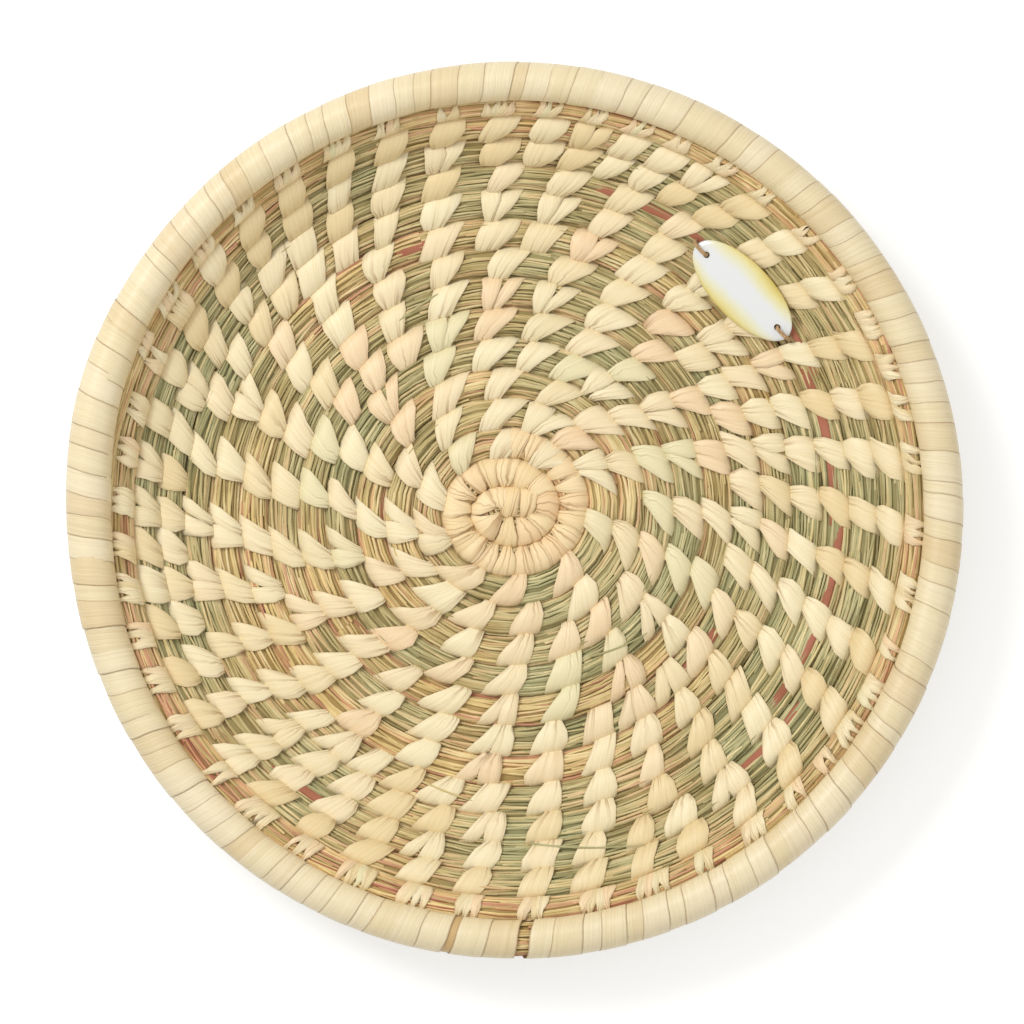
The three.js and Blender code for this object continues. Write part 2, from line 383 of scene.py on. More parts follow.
def row_of_lines(stations):
    return [(i, i + 1) for i in range(len(stations) - 1)]


def add_node(tree, kind, *inputs, named=None, stops=(), points=(), **settings):
    """Adds a node with its settings, then links or sets its inputs, in their order or by name.

    None leaves an input as it is. stops are a ramp's places and hex colours, and points draw a curve.
    """
    node = tree.nodes.new(kind)
    for key, value in settings.items():
        setattr(node, key, value)
    sockets = [s for s in node.inputs if s.enabled]
    values = list(zip(sockets, inputs))
    for label, value in (named or {}).items():
        values.append((next(s for s in sockets if s.name == label), value))
    for socket, value in values:
        if isinstance(value, bpy.types.Node):
            value = next(s for s in value.outputs if s.enabled)
        if isinstance(value, bpy.types.NodeSocket):
            tree.links.new(value, socket)
        elif value is not None:
            socket.default_value = value
    if stops:
        marks = node.color_ramp.elements
        while len(marks) < len(stops):
            marks.new(1)
        for mark, (place, colour) in zip(marks, stops):
            mark.position = place
            mark.color = linear(colour)
    if points:
        line = node.mapping.curves[0]
        node.mapping.use_clip = False
        line.points[0].location = points[0]
        line.points[-1].location = points[-1]
        for x, y in points[1:-1]:
            line.points.new(x, y)
        node.mapping.update()
    return node


def new_tree(name, sizes):
    """A geometry node tree with a geometry input and output and a named input for each size."""
    tree = bpy.data.node_groups.new(name, "GeometryNodeTree")
    tree.interface.new_socket("Geometry", in_out="OUTPUT", socket_type="NodeSocketGeometry")
    tree.interface.new_socket("Geometry", in_out="INPUT", socket_type="NodeSocketGeometry")
    for label, value in sizes.items():
        kind = "NodeSocketInt" if isinstance(value, int) else "NodeSocketFloat"
        socket = tree.interface.new_socket(label, in_out="INPUT", socket_type=kind)
        socket.default_value = value
    return tree, tree.nodes.new("NodeGroupInput").outputs


def new_object(name, data):
    made = bpy.data.objects.new(name, data)
    bpy.context.collection.objects.link(made)
    return made


def plain_mesh(source):
    """The finished mesh of an object, which is then removed with its modifiers."""
    depsgraph = bpy.context.evaluated_depsgraph_get()
    mesh = bpy.data.meshes.new_from_object(source.evaluated_get(depsgraph))
    bpy.data.objects.remove(source)
    return mesh


def made_by(tree, guide, name, material, sizes=None):
    """The plain mesh object that a tree makes from a guide."""
    source = new_object(name + "_guide", guide)
    modifier = source.modifiers.new("shape", "NODES")
    modifier.node_group = tree
    for item in tree.interface.items_tree:
        if item.in_out == "INPUT" and item.name in (sizes or {}):
            modifier[item.identifier] = sizes[item.name]
    mesh = plain_mesh(source)
    mesh.name = name
    if not mesh.materials:
        mesh.materials.append(material)
    return new_object(name, mesh)


def stand(piece):
    """What lies under the plate is pressed level with the ground."""
    lowest = 0.05 * mm
    pressed_share = 0.1
    for vertex in piece.data.vertices:
        if vertex.co.z < lowest:
            vertex.co.z = lowest + pressed_share * vertex.co.z
    floor = min(v.co.z for v in piece.data.vertices)
    for vertex in piece.data.vertices:
        if floor < 0 and vertex.co.z < lowest:
            vertex.co.z -= floor


def keep(piece, slot, *nodes):
    """Stands a piece on the ground, lets it ride the plate and hides the CAD nodes that it stands for."""
    stand(piece)
    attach(piece, "root")
    if nodes:
        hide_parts(*nodes)


def placed(add, theta, lift, half_width, rise, drop):
    """The offset across and off a row at an angle round the bundle and a distance off its surface."""
    across = add("GeometryNodeInputNamedAttribute", "across", data_type="FLOAT_VECTOR")
    up = add("GeometryNodeInputNamedAttribute", "up", data_type="FLOAT_VECTOR")
    size = add("GeometryNodeInputNamedAttribute", "size")
    cosine = add("ShaderNodeMath", theta, operation="COSINE")
    sine = add("ShaderNodeMath", theta, operation="SINE")
    above = add("ShaderNodeMath", sine, 0.0, operation="GREATER_THAN")
    half_height = add("ShaderNodeMix", above, drop, rise)
    offsets = []
    for half, part, direction in ((half_width, cosine, across), (half_height, sine, up)):
        scaled = add("ShaderNodeMath", half, size, operation="MULTIPLY")
        reach = add("ShaderNodeMath", scaled, lift, operation="ADD")
        length = add("ShaderNodeMath", reach, part, operation="MULTIPLY")
        offsets.append(add("ShaderNodeVectorMath", direction, named={"Scale": length}, operation="SCALE"))
    return add("ShaderNodeVectorMath", *offsets, operation="ADD")


def finish_tree(add, shape, material):
    """The end of every tree: smooth faces, plain geometry and its material."""
    smooth = add("GeometryNodeSetShadeSmooth", shape)
    plain = add("GeometryNodeRealizeInstances", smooth)
    painted = add("GeometryNodeSetMaterial", plain, None, material)
    add("NodeGroupOutput", painted)


def stem_tree(material):
    """Grass stems: copies of a middle line, broken into lengths, spread round the bundle and swept.

    They lie round a plain core, which shows only between them.
    """
    sizes = {
        "Stems": stems_around,
        "Half width": bundle_half_width * stem_ring_width,
        "Rise": bundle_rise * stem_ring_height,
        "Drop": bundle_drop * stem_ring_height,
        "Stem width": stem_width,
        "Jitter": stem_jitter,
        "Wander": stem_wander,
        "Break chance": stem_break_chance,
        "Core half width": core_half_width,
        "Core half height": core_half_height,
        "Seed": 3,
    }
    tree, given = new_tree("grass stems", sizes)
    add = partial(add_node, tree)
    number = add("GeometryNodeInputIndex")
    spread = add("GeometryNodeMeshLine", given["Stems"], named={"Offset": (0, 0, 0)})
    marked = add("GeometryNodeStoreNamedAttribute", spread, None, "stem", number)
    copies = add("GeometryNodeInstanceOnPoints", marked, None, given["Geometry"])
    lines = add("GeometryNodeRealizeInstances", copies)
    broken = add("FunctionNodeRandomValue", given["Break chance"], None, given["Seed"], data_type="BOOLEAN")
    lengths = add("GeometryNodeDeleteGeometry", lines, broken, domain="EDGE", mode="EDGE_FACE")
    island = add("GeometryNodeInputMeshIsland")
    chance = add("FunctionNodeRandomValue", 0.0, 1.0, island, given["Seed"])
    toned = add("GeometryNodeStoreNamedAttribute", lengths, None, "tone", chance)
    own = {key: add("GeometryNodeInputNamedAttribute", key) for key in ("tone", "stem", "along", "size")}
    # Round the bundle: each stem has its own lane, and wanders over its neighbours
    lane = add("ShaderNodeMath", own["stem"], own["tone"], operation="ADD")
    share = add("ShaderNodeMath", lane, given["Stems"], operation="DIVIDE")
    start = add("ShaderNodeMath", share, turn, operation="MULTIPLY")
    spot = add("ShaderNodeCombineXYZ", own["along"], lane)
    sway, quiver, lumps = (
        add("ShaderNodeTexNoise", spot, per_metre, detail, 0.5, noise_dimensions="2D", normalize=False)
        for per_metre, detail in ((stem_sway_waves, 1.0), (stem_quiver_waves, 0.0), (stem_lump_waves, 1.0))
    )
    drift = add("ShaderNodeMath", quiver, stem_quiver_share, sway, operation="MULTIPLY_ADD")
    drift = add("ShaderNodeMath", drift, given["Wander"], operation="MULTIPLY")
    theta = add("ShaderNodeMath", start, drift, operation="ADD")
    # Off the surface: most stems lie a little below it, and a few stand proud
    depth = add("ShaderNodeMath", own["tone"], depth_shuffle, operation="MULTIPLY")
    depth = add("ShaderNodeMath", depth, operation="FRACT")
    depth = add("ShaderNodeMath", depth, stem_sunk_share, operation="SUBTRACT")
    jitter = add("ShaderNodeMath", depth, given["Jitter"], operation="MULTIPLY")
    jitter = add("ShaderNodeMath", lumps, stem_lumps, jitter, operation="MULTIPLY_ADD")
    offset = placed(add, theta, jitter, given["Half width"], given["Rise"], given["Drop"])
    moved = add("GeometryNodeSetPosition", toned, None, None, offset)
    curves = add("GeometryNodeMeshToCurve", moved)
    width = add("ShaderNodeMath", own["tone"], width_shuffle, operation="MULTIPLY")
    width = add("ShaderNodeMath", width, operation="FRACT")
    width = add("ShaderNodeMapRange", width, 0.0, 1.0, thinnest_stem, thickest_stem)
    radius = add("ShaderNodeMath", width, given["Stem width"], operation="MULTIPLY")
    sized = add("GeometryNodeSetCurveRadius", curves, None, radius)
    section = add("GeometryNodeCurvePrimitiveCircle", stem_sides, 1.0, mode="RADIUS")
    swept = add("GeometryNodeCurveToMesh", sized, section, named={"Fill Caps": True, "Scale": radius})
    # The core: an oval that tilts with the row
    middle = add("GeometryNodeMeshToCurve", given["Geometry"])
    across = add("GeometryNodeInputNamedAttribute", "across", data_type="FLOAT_VECTOR")
    upright = add("GeometryNodeSetCurveNormal", middle, None, across, mode="FREE")
    ring = add("GeometryNodeCurvePrimitiveCircle", core_sides, 1.0, mode="RADIUS")
    halves = add("ShaderNodeCombineXYZ", given["Core half width"], given["Core half height"], 1.0)
    oval = add("GeometryNodeTransform", ring, named={"Scale": halves})
    core = add("GeometryNodeCurveToMesh", upright, oval, named={"Fill Caps": True, "Scale": own["size"]})
    whole = add("GeometryNodeJoinGeometry", swept)
    tree.links.new(core.outputs[0], whole.inputs[0])
    finish_tree(add, whole, material)
    return tree


def leaf_tree(name, material, course, sizes, stations_around=stitch_stations):
    """Strips of leaf: a flat closed loop for each point, bent round the row at that point.

    u runs round the row from below, over the outer side and the top, and v runs across the leaf.
    """
    tree, given = new_tree(name, sizes)
    add = partial(add_node, tree)
    counts = {"Vertices": leaf_sides, "Side Segments": stations_around, "Radius": 1.0, "Depth": 1.0}
    blank = add("GeometryNodeMeshCylinder", named=counts, fill_type="NGON")
    ready = add("GeometryNodeInputPosition")
    marked = add("GeometryNodeStoreNamedAttribute", blank, None, "leaf", ready, data_type="FLOAT_VECTOR")
    copies = add("GeometryNodeInstanceOnPoints", given["Geometry"], None, marked)
    strips = add("GeometryNodeRealizeInstances", copies)
    vectors = {
        key: add("GeometryNodeInputNamedAttribute", key, data_type="FLOAT_VECTOR")
        for key in ("leaf", "middle", "pivot")
    }
    own = {
        key: add("GeometryNodeInputNamedAttribute", key)
        for key in ("width", "lean", "slide", "carry", "lift", "bend", "climb", "tone", "square")
    }
    # The round outline is flattened so that the strip has crisp edges
    parts = add("ShaderNodeSeparateXYZ", vectors["leaf"]).outputs
    flat = add("ShaderNodeMath", parts["X"], parts["X"], operation="MULTIPLY")
    flat = add("ShaderNodeMath", 1.0, flat, operation="SUBTRACT")
    flat = add("ShaderNodeMath", flat, leaf_edge_crispness, 1.0, operation="MULTIPLY_ADD")
    v = add("ShaderNodeMath", parts["X"], flat, operation="MULTIPLY")
    v = add("ShaderNodeMath", v, 0.5, operation="MULTIPLY")
    u = add("ShaderNodeMath", parts["Z"], 0.5, operation="ADD")
    drawn = {
        key: add("ShaderNodeFloatCurve", 1.0, u, points=course[key])
        for key in ("width", "lean", "carry", "lift", "gather")
    }
    # Along the row: the leaf's own width, its lean, the step to the next stitch and ragged edges
    shape = add("ShaderNodeMix", own["square"], drawn["width"], squared_leaf_width)
    wide = add("ShaderNodeMath", shape, own["width"], operation="MULTIPLY")
    sideways = add("ShaderNodeMath", v, wide, operation="MULTIPLY")
    lean = add("ShaderNodeMath", drawn["lean"], own["lean"], sideways, operation="MULTIPLY_ADD")
    carry = add("ShaderNodeMath", drawn["carry"], own["carry"], operation="MULTIPLY")
    shift = add("ShaderNodeMath", lean, carry, operation="ADD")
    shift = add("ShaderNodeMath", shift, own["slide"], operation="ADD")
    spot = add("ShaderNodeMath", own["tone"], ragged_shuffle, v, operation="MULTIPLY_ADD")
    spot = add("ShaderNodeCombineXYZ", spot, u)
    ragged = add("ShaderNodeTexNoise", spot, ragged_waves, 1.0, 0.5, noise_dimensions="2D", normalize=False)
    shift = add("ShaderNodeMath", ragged, given["Raggedness"], shift, operation="MULTIPLY_ADD")
    theta = add("ShaderNodeMapRange", u, 0.0, 1.0, course["from"], course["to"])
    # Off the surface: crown of the leaf, pleats that gather towards the narrow end, and its thickness
    square = add("ShaderNodeMath", v, v, operation="MULTIPLY")
    crown = add("ShaderNodeMath", 0.25, square, operation="SUBTRACT")
    crown = add("ShaderNodeMath", crown, given["Crown"], operation="MULTIPLY")
    phase = add("ShaderNodeMath", own["tone"], pleat_shuffle, operation="MULTIPLY")
    wave = add("ShaderNodeMath", v, given["Pleats"], phase, operation="MULTIPLY_ADD")
    wave = add("ShaderNodeMath", wave, operation="SINE")
    wave = add("ShaderNodeMath", wave, drawn["gather"], operation="MULTIPLY")
    wave = add("ShaderNodeMath", wave, given["Pleat depth"], operation="MULTIPLY")
    thick = add("ShaderNodeMath", parts["Y"], given["Thickness"], operation="MULTIPLY")
    tilt = add("ShaderNodeMath", v, given["Overlap"], operation="MULTIPLY")
    lift = add("ShaderNodeMath", drawn["lift"], mm, operation="MULTIPLY")
    for part in (crown, wave, thick, tilt, own["lift"]):
        lift = add("ShaderNodeMath", lift, part, operation="ADD")
    offset = placed(add, theta, lift, given["Half width"], given["Rise"], given["Drop"])
    # The strip slides along the row by turning about the row's own centre of bend, and climbs with it
    point = add("ShaderNodeVectorMath", vectors["middle"], offset, operation="ADD")
    angle = add("ShaderNodeMath", shift, own["bend"], operation="DIVIDE")
    turned = add(
        "ShaderNodeVectorRotate", point, vectors["pivot"], named={"Angle": angle}, rotation_type="Z_AXIS"
    )
    rise = add("ShaderNodeMath", shift, own["climb"], operation="MULTIPLY")
    rise = add("ShaderNodeCombineXYZ", 0.0, 0.0, rise)
    carried = add("ShaderNodeVectorMath", turned, rise, operation="ADD")
    bent = add("GeometryNodeSetPosition", strips, None, carried)
    # Bending the blank turns it inside out, so its faces are flipped back to point outwards
    outward = add("GeometryNodeFlipFaces", bent)
    # The gather is kept for the leaf material, which paints shade into the creases where it is high
    kept = add("GeometryNodeStoreNamedAttribute", outward, None, "gather", drawn["gather"])
    finish_tree(add, kept, material)
    return tree


def surface(name, roughness, specular, sheen=0.0):
    """A new material with its tree and its shader, uniform values on the shader's own sockets."""
    material = bpy.data.materials.new(name)
    material.use_nodes = True
    shader = material.node_tree.nodes["Principled BSDF"].inputs
    shader["Roughness"].default_value = roughness
    shader["Specular IOR Level"].default_value = specular
    shader["Sheen Weight"].default_value = sheen
    return material, material.node_tree, shader


def paint(tree, shader, colour, height=None, depth=0.0, strength=0.0):
    """Links a colour to the shader, and raises its face by a height that is worked out as a pattern."""
    tree.links.new(next(s for s in colour.outputs if s.enabled), shader["Base Color"])
    if height:
        raised = {"Strength": strength, "Distance": depth, "Height": height}
        bump = add_node(tree, "ShaderNodeBump", named=raised)
        tree.links.new(bump.outputs["Normal"], shader["Normal"])


def dried_grass():
    """Dried grass stems, uncut and unpeeled: each keeps its own colour from green to straw and red.

    Duller patches lie along it, and a fine grain takes off the shine.
    """
    material, tree, shader = surface("dried_grass_stems", roughness=0.72, specular=0.3)
    add = partial(add_node, tree)
    straws = ((0.0, "#b89c64"), (0.13, "#cab07a"), (0.3, "#dfc488"), (0.5, "#f0d698"))
    straws += ((0.68, "#f5dfac"), (0.82, "#e9bf8a"), (0.92, "#d39c7c"), (1.0, "#a5634c"))
    greens = ((0.0, "#9a9468"), (0.35, "#b2ae80"), (0.7, "#cbc394"), (1.0, "#edd9a2"))
    here = add("ShaderNodeTexCoord").outputs["Object"]
    tone, green = (
        add("ShaderNodeAttribute", attribute_name=key).outputs["Fac"] for key in ("tone", "green")
    )
    straw = add("ShaderNodeValToRGB", tone, stops=straws)
    fresh = add("ShaderNodeValToRGB", tone, stops=greens)
    drift = add("ShaderNodeTexNoise", here, 1 / green_patch, 1.0, pattern_roughness)
    runs = add("ShaderNodeMath", drift, green_contrast, -green_contrast / 2, operation="MULTIPLY_ADD")
    runs = add("ShaderNodeMath", runs, green, operation="ADD", use_clamp=True)
    colour = add("ShaderNodeMix", runs, straw, fresh, data_type="RGBA")
    patches = add("ShaderNodeTexNoise", here, 1 / dull_patch, 3.0, pattern_roughness)
    light = add("ShaderNodeValToRGB", patches, stops=((0.3, "#d3c9b2"), (0.65, "#ffffff")))
    colour = add("ShaderNodeMix", dull_shade, colour, light, data_type="RGBA", blend_type="MULTIPLY")
    grain = add("ShaderNodeTexNoise", here, 1 / stem_grain, 2.0, pattern_roughness)
    paint(tree, shader, colour, grain, depth=0.2 * mm, strength=0.4)
    return material


def palm_leaf(name, tints, ribs, crease_shade, edge_shade, roughness):
    """Palm leaf, split and dried, sewn damp: pale, with fine ribs along it and a soft satin face.

    It creases where it gathers, with painted shade darkening the creases, and each edge has a thin painted
    shadow.
    """
    material, tree, shader = surface(name, roughness, specular=0.4)
    add = partial(add_node, tree)
    place = add("ShaderNodeAttribute", attribute_name="leaf").outputs["Vector"]
    tone, gather = (
        add("ShaderNodeAttribute", attribute_name=key).outputs["Fac"] for key in ("tone", "gather")
    )
    parts = add("ShaderNodeSeparateXYZ", place).outputs
    spot = add("ShaderNodeCombineXYZ", parts["X"], tone, parts["Z"])
    rib_waves = (ribs, rib_shuffle, rib_waves_along)
    long_spot = add("ShaderNodeVectorMath", spot, rib_waves, operation="MULTIPLY")
    rib = add("ShaderNodeTexNoise", long_spot, 1.0, 3.0, pattern_roughness)
    fold_waves = (ribs / ribs_per_fold, fold_shuffle, fold_waves_along)
    wide_spot = add("ShaderNodeVectorMath", spot, fold_waves, operation="MULTIPLY")
    fold = add("ShaderNodeTexNoise", wide_spot, 1.0, 2.0, pattern_roughness)
    # Painted shade: fold lines darken towards brown where the leaf gathers, as shade lies in its creases
    painted_crease_shade = add("ShaderNodeMath", gather, crease_shade, operation="MULTIPLY")
    side = add("ShaderNodeMath", parts["X"], operation="ABSOLUTE")
    colour = add("ShaderNodeValToRGB", tone, stops=tints)
    shades = (
        (rib_shade, rib, ((0.35, "#e6dcc0"), (0.6, "#ffffff"))),
        (painted_crease_shade, fold, ((0.39, "#a37f52"), (0.45, "#ffffff"))),
        (edge_shade, side, ((0.72, "#ffffff"), (0.8, "#a4825a"))),
    )
    for amount, value, stops in shades:
        shade = add("ShaderNodeValToRGB", value, stops=stops)
        colour = add("ShaderNodeMix", amount, colour, shade, data_type="RGBA", blend_type="MULTIPLY")
    folds = add("ShaderNodeMath", fold, gather, operation="MULTIPLY")
    both = add("ShaderNodeMath", rib, rib_relief, folds, operation="MULTIPLY_ADD")
    paint(tree, shader, colour, both, depth=0.8 * mm, strength=0.6)
    return material


def glazed_clay():
    """Glazed clay tag: white, with yellow sprayed along both long edges under a clear, wet-looking glaze."""
    material, tree, shader = surface("glazed_clay_tag", roughness=0.16, specular=0.6)
    add = partial(add_node, tree)
    shader["Coat Weight"].default_value = 0.25
    edge = add("ShaderNodeAttribute", attribute_name="edge").outputs["Fac"]
    here = add("ShaderNodeTexCoord").outputs["Object"]
    cloud = add("ShaderNodeTexNoise", here, 1 / glaze_cloud, 2.0, pattern_roughness)
    spread = add("ShaderNodeMath", cloud, glaze_drift, glaze_shift, operation="MULTIPLY_ADD")
    place = add("ShaderNodeMath", edge, spread, operation="ADD")
    yellows = ((0.3, "#dfe0df"), (0.52, "#e1debf"), (0.78, "#dfd28c"), (1.0, "#d0bb60"))
    colour = add("ShaderNodeValToRGB", place, stops=yellows)
    paint(tree, shader, colour)
    return material


def twisted_thread():
    """Twisted cotton thread, tanned by handling: dull, with short fibres across each ply."""
    material, tree, shader = surface("twisted_cotton_thread", roughness=0.85, specular=0.2, sheen=0.3)
    add = partial(add_node, tree)
    here = add("ShaderNodeTexCoord").outputs["Object"]
    fibre = add("ShaderNodeTexNoise", here, 1 / thread_fibre, 2.0, pattern_roughness)
    colour = add("ShaderNodeValToRGB", fibre, stops=((0.3, "#8d6a45"), (0.7, "#cdab7d")))
    paint(tree, shader, colour, fibre, depth=0.1 * mm, strength=0.5)
    return material


def bend_at(path, turns, step=0.02):
    """The centre and signed radius of a path's bend at a place, and how steeply it climbs there."""
    before, here, after = (path(turns + i * step)["place"] for i in (-1, 0, 1))
    climb = (after.z - before.z) / (after - before).xy.length
    before, here, after = before.xy, here.xy, after.xy
    a, b = here - before, after - here
    cross = a.x * b.y - a.y * b.x
    furthest = 500 * mm
    radius = a.length * b.length * (after - before).length / (2 * cross) if cross else furthest
    radius = math.copysign(min(abs(radius), furthest), radius)
    along = (after - before).normalized()
    pivot = here + Vector((-along.y, along.x)) * radius
    return Vector((pivot.x, pivot.y, 0)), radius, climb


def leaf_at(path, turns, **own):
    """A station for one strip of leaf, with everything that its tree reads."""
    station = path(turns)
    pivot, bend, climb = bend_at(path, turns)
    station.update({"middle": station["place"].copy(), "pivot": pivot, "bend": bend, "climb": climb})
    defaults = {"lean": 0.0, "slide": 0.0, "carry": 0.0, "lift": 0.0, "square": 0.0}
    defaults["tone"] = dice.random()
    station.update(defaults)
    station.update(own)
    return station


def strip_ends():
    """Where the strips of the sewing begin and end, in turns: wraps first, then open stitches."""
    found = [start_turns, start_turns]
    turns = start_turns
    while turns < coil_turns:
        found.append(turns)
        radius = (row_at(turns)["place"] - centring).xy.length
        pitch = min(widest_stitch_pitch, stitch_pitch_at_middle + stitch_pitch_growth * radius)
        if turns < wrapped_turns:
            pitch = wrap_pitch
        turns += pitch / arc_per_turn(turns)
    first_open = next(i for i, at in enumerate(found) if at >= wrapped_turns)
    last = len(found) - 1
    wraps = [*range(1, first_open, wraps_per_strip), first_open]
    stitches = [*range(first_open, last, stitches_per_strip), last]
    return [found[i] for i in wraps], [found[i] for i in stitches]


# How each kind of strip runs round the row: its angles, then width, lean, step, lift in mm and pleats, whose
# gather also sets where the leaf's painted shade darkens the creases
stitch_course = {
    "from": -turn / 4,
    "to": 3 * turn / 4,
    "width": [(0, 0.4), (0.19, 0.5), (0.27, 0.74), (0.36, 0.96), (0.46, 1)]
    + [(0.56, 0.86), (0.62, 0.64), (0.67, 0.42), (0.72, 0.3), (1, 0.4)],
    "lean": [(0, 0), (0.19, -0.75), (0.28, -0.6), (0.5, -0.08), (0.68, 0.5), (0.8, 0.5), (1, 0)],
    "carry": [(0, -0.5), (0.2, -0.06), (0.25, 0), (0.75, 0), (0.8, 0.06), (1, 0.5)],
    "lift": [(0, 0.5), (0.25, 0.4), (0.5, 0.6), (0.6, 1.2), (0.65, 2)]
    + [(0.69, 2.8), (0.74, 2.2), (0.8, 0.4), (1, 0.5)],
    "gather": [(0, 0.2), (0.35, 0.05), (0.48, 0.15), (0.6, 0.75), (0.68, 1), (0.8, 1), (1, 0.3)],
}
wrap_course = {
    "from": -turn / 4,
    "to": 3 * turn / 4,
    "width": [(0, 1), (0.25, 1.2), (0.5, 1.1), (0.63, 0.8), (0.71, 0.5), (0.8, 0.6), (1, 1)],
    "lean": [(0, 0), (1, 0)],
    "carry": [(0, -0.5), (1, 0.5)],
    "lift": [(0, 0.4), (0.5, 0.5), (0.63, 0.6), (0.7, 0.9), (0.75, 0.8), (0.8, 0.3), (1, 0.4)],
    "gather": [(0, 0.2), (0.3, 0.3), (0.5, 0.6), (0.62, 1), (0.8, 1), (1, 0.2)],
}
rim_course = {
    "from": -turn / 2,
    "to": turn / 2,
    "width": [(0, 1), (1, 1)],
    "lean": [(0, 0), (1, 0)],
    "carry": [(0, -0.5), (1, 0.5)],
    "lift": [(0, 0.2), (1, 0.2)],
    "gather": [(0, 0.15), (1, 0.15)],
}
tongue_course = {
    "from": -turn / 36,
    "to": 25 * turn / 36,
    "width": [(0, 0.25), (0.15, 0.42), (0.33, 0.8), (0.5, 1), (1, 0.7)],
    "lean": [(0, 0), (0.15, 0.12), (0.4, 0.7), (0.58, 1), (1, 1)],
    "carry": [(0, 0), (1, 0)],
    "lift": [(0, 0.7), (0.4, 0.6), (0.7, 0.4), (1, 0.3)],
    "gather": [(0, 1), (0.3, 0.4), (0.5, 0.3), (0.6, 0.9), (1, 0.5)],
}
stitch_sizes = {
    "Half width": bundle_half_width,
    "Rise": bundle_rise,
    "Drop": bundle_drop,
    "Crown": 0.9 * mm,
    "Pleats": 15.0,
    "Pleat depth": 0.14 * mm,
    "Thickness": leaf_thickness / 2,
    "Overlap": 0.0,
    "Raggedness": 1.1 * mm,
}
rim_sizes = stitch_sizes | {
    "Half width": rim_radius,
    "Rise": rim_radius,
    "Drop": rim_radius,
    "Crown": 0.03 * mm,
    "Thickness": 0.06 * mm,
    "Pleat depth": 0.02 * mm,
    "Overlap": 0.06 * mm,
    "Raggedness": 0.5 * mm,
}

rim_spacing = turn * rim_middle_radius / rim_wraps
grass = dried_grass()
stitch_tints = ((0.0, "#e6d0a0"), (0.4, "#f1e3bd"), (0.65, "#eedab2"), (0.82, "#efd2aa"), (1.0, "#e6dcb2"))
stitch_ribs = stitch_width / 2 / stitch_rib_spacing
leaf = palm_leaf("split_palm_leaf", stitch_tints, stitch_ribs, crease_shade=0.6, edge_shade=0.12, roughness=0.45)
wrap_tints = ((0.0, "#efd4a3"), (0.5, "#f3dbae"), (1.0, "#edcb9d"))
wrap_ribs = wrap_spacing / 2 / wrap_rib_spacing
wrap_leaf = palm_leaf(
    "split_palm_leaf_centre", wrap_tints, wrap_ribs, crease_shade=0.75, edge_shade=0.5, roughness=0.55
)
rim_tints = ((0.0, "#dfc99e"), (0.4, "#e8d8b2"), (0.75, "#ecddbb"), (0.95, "#cfae7a"))
rim_ribs = rim_usual_width * rim_spacing / 2 / rim_rib_spacing
rim_leaf = palm_leaf(
    "split_palm_leaf_rim", rim_tints, rim_ribs, crease_shade=0.5, edge_shade=0.55, roughness=0.36
)
glaze = glazed_clay()
thread = twisted_thread()


def coil_guide(first, last):
    """A length of the coil's middle line, short enough for its stems to stay one mesh."""
    places = [first]
    while places[-1] < last:
        places.append(min(places[-1] + guide_step / arc_per_turn(places[-1]), last))
    stations = []
    for turns in places:
        station = row_at(turns)
        station["along"] = math.pi * row_pitch * turns * turns
        station["green"] = between(green_rows, turns)
        stations.append(station)
    return guide_mesh("coil guide", stations, row_of_lines(stations))


# Grass coil, in lengths that each stay one mesh
stems = stem_tree(grass)
coil_ends = [start_turns - lead_in_turns, *coil_lengths_end, coil_turns + tail_turns]
for number, (first, last) in enumerate(zip(coil_ends, coil_ends[1:])):
    nodes = ["grass_coil"] if number == 0 else []
    piece = made_by(stems, coil_guide(first, last), f"grass_stems_{number + 1:02d}", grass)
    keep(piece, "grass", *nodes)


def stations_along(first, length, steps):
    """Stations over a length of the coil from a place on it, each with its share of the length."""
    for i in range(steps + 1):
        share = i / steps
        yield share, row_at(first + length * share / arc_per_turn(first)) | {"along": length * share}


def loose_stem(first, length, drift, green):
    """A loose stem that lies over the stitches, drifting across by a number of rows."""
    stations = []
    for share, station in stations_along(first, length, loose_stem_steps):
        across = (share - 0.5) * drift * row_pitch
        clear = bundle_rise + loose_stem_lift * math.sin(math.pi * share)
        station["place"] += station["across"] * across + station["up"] * clear
        station |= {"size": 1 - loose_stem_taper * share, "green": green, "tone": loose_stem_tone}
        stations.append(station)
    return guide_mesh("loose stem", stations, row_of_lines(stations))


def broad_stem(first, length, offset):
    """A broad flat stem along the face of the coil, under the stitches, sinking in at both ends."""
    stations = []
    side = offset / bundle_half_width
    surface_height = bundle_rise * math.sqrt(1 - side * side)
    for share, station in stations_along(first, length, broad_stem_steps):
        dive = broad_stem_dive * (2 * share - 1) ** broad_stem_dive_power
        sunk = broad_half_height * (broad_stem_depth + dive)
        station["place"] += station["across"] * offset + station["up"] * (surface_height - sunk)
        station |= {"size": 1.0, "green": never_green, "tone": broad_stem_tone}
        stations.append(station)
    return guide_mesh("broad stem", stations, row_of_lines(stations))


# Single stems, loose over the stitches or broad under them
thin = {"Stems": 0, "Core half width": loose_half_width, "Core half height": loose_half_height}
broad = {"Stems": 0, "Core half width": broad_half_width, "Core half height": broad_half_height}
extra_stems = (("loose", loose_stem, thin, loose_stems), ("broad", broad_stem, broad, broad_stems))
for kind, shape, own_sizes, places in extra_stems:
    for number, numbers in enumerate(places):
        name = f"grass_stem_{kind}_{number + 1:02d}"
        keep(made_by(stems, shape(*numbers), name, grass, own_sizes), "grass")


